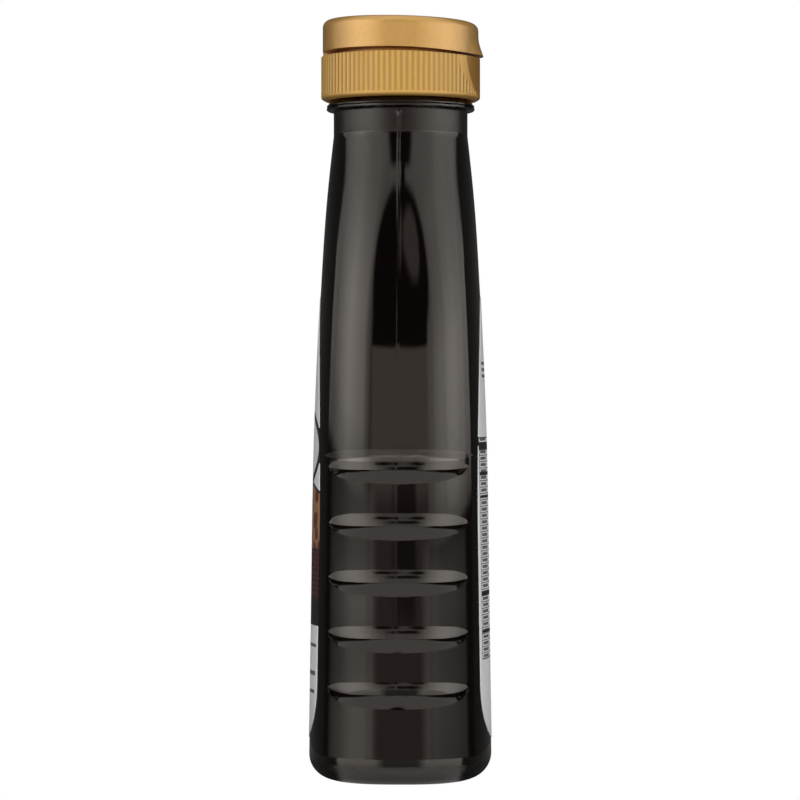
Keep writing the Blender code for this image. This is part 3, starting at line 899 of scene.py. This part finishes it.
def make_soft_lights():
    """Square lights round the stand that brighten matt surfaces and give no reflection."""
    for name, azimuth, elevation, middle, size, spread, power in SOFT_LIGHTS:
        data = bpy.data.lights.new(name, "AREA")
        data.size, data.spread = size, math.radians(spread)
        data.energy = power
        made = put(name, data)
        turn, lift = math.radians(azimuth) + CAMERA_TURN, math.radians(elevation)
        level, up = LIGHT_DISTANCE * math.cos(lift), LIGHT_DISTANCE * math.sin(lift)
        made.location = level * math.cos(turn), level * math.sin(turn), middle + up
        made.rotation_euler = math.pi / 2 - lift, 0, math.pi / 2 + turn
        made.visible_glossy = made.visible_transmission = False


def emptied(owner):
    """The node tree of a new material or world, without its usual nodes."""
    owner.use_nodes = True
    owner.node_tree.nodes.clear()
    return owner.node_tree


def tent_light():
    """Shines with the light colour that is stored for each point."""
    made = bpy.data.materials.new("tent_light")
    tree = emptied(made)
    stored = tree.nodes.new("ShaderNodeAttribute")
    stored.attribute_name = "glow"
    light = tree.nodes.new("ShaderNodeEmission")
    out = tree.nodes.new("ShaderNodeOutputMaterial")
    tree.links.new(stored.outputs["Color"], light.inputs["Color"])
    tree.links.new(light.outputs[0], out.inputs["Surface"])
    return made


def make_floor():
    """A pale floor that mirrors nothing: the glossy sides don't see it."""
    size = FLOOR_HALF_SIZE
    corners = ((-size, -size, 0), (size, -size, 0), (size, size, 0), (-size, size, 0))
    floor = mesh_of("floor", np.array(corners), [(0, 1, 2, 3)], floor_white())
    floor.visible_glossy = False


def make_backdrop():
    """Plain white where the camera sees past the floor; it lights nothing."""
    world = bpy.data.worlds.new("backdrop")
    bpy.context.scene.world = world
    tree = emptied(world)
    path = tree.nodes.new("ShaderNodeLightPath")
    seen = tree.nodes.new("ShaderNodeBackground")
    seen.inputs["Color"].default_value = (1, 1, 1, 1)
    out = tree.nodes.new("ShaderNodeOutputWorld")
    tree.links.new(path.outputs["Is Camera Ray"], seen.inputs["Strength"])
    tree.links.new(seen.outputs[0], out.inputs["Surface"])


def floor_white():
    """Matt pale grey, which the camera sees as plain white."""
    made = bpy.data.materials.new("floor_white")
    tree = emptied(made)
    path = tree.nodes.new("ShaderNodeLightPath")
    matt = tree.nodes.new("ShaderNodeBsdfDiffuse")
    matt.inputs["Color"].default_value = (0.8, 0.8, 0.8, 1)
    plain = tree.nodes.new("ShaderNodeEmission")
    plain.inputs["Strength"].default_value = 1.0
    mix = tree.nodes.new("ShaderNodeMixShader")
    out = tree.nodes.new("ShaderNodeOutputMaterial")
    tree.links.new(path.outputs["Is Camera Ray"], mix.inputs["Fac"])
    tree.links.new(matt.outputs[0], mix.inputs[1])
    tree.links.new(plain.outputs[0], mix.inputs[2])
    tree.links.new(mix.outputs[0], out.inputs["Surface"])
    return made


def make_camera():
    """Level, and far enough away for its lens to frame the view's width at the bottle's axis."""
    data = bpy.data.cameras.new("camera")
    data.sensor_width = SENSOR
    data.lens = SENSOR * CAMERA_DISTANCE / VIEW_WIDTH
    made = put("camera", data)
    out = np.array((math.cos(CAMERA_TURN), math.sin(CAMERA_TURN), 0))
    aside = np.array((out[1], -out[0], 0))
    made.location = CAMERA_DISTANCE * out + CAMERA_ASIDE * aside + (0, 0, CAMERA_HEIGHT)
    made.rotation_euler = (math.pi / 2, 0, math.pi / 2 + CAMERA_TURN)
    bpy.context.scene.camera = made


dress()
make_light_tent()
make_base_card()
make_soft_lights()
make_floor()
make_backdrop()
make_camera()
bpy.context.scene.view_settings.view_transform = "Standard"
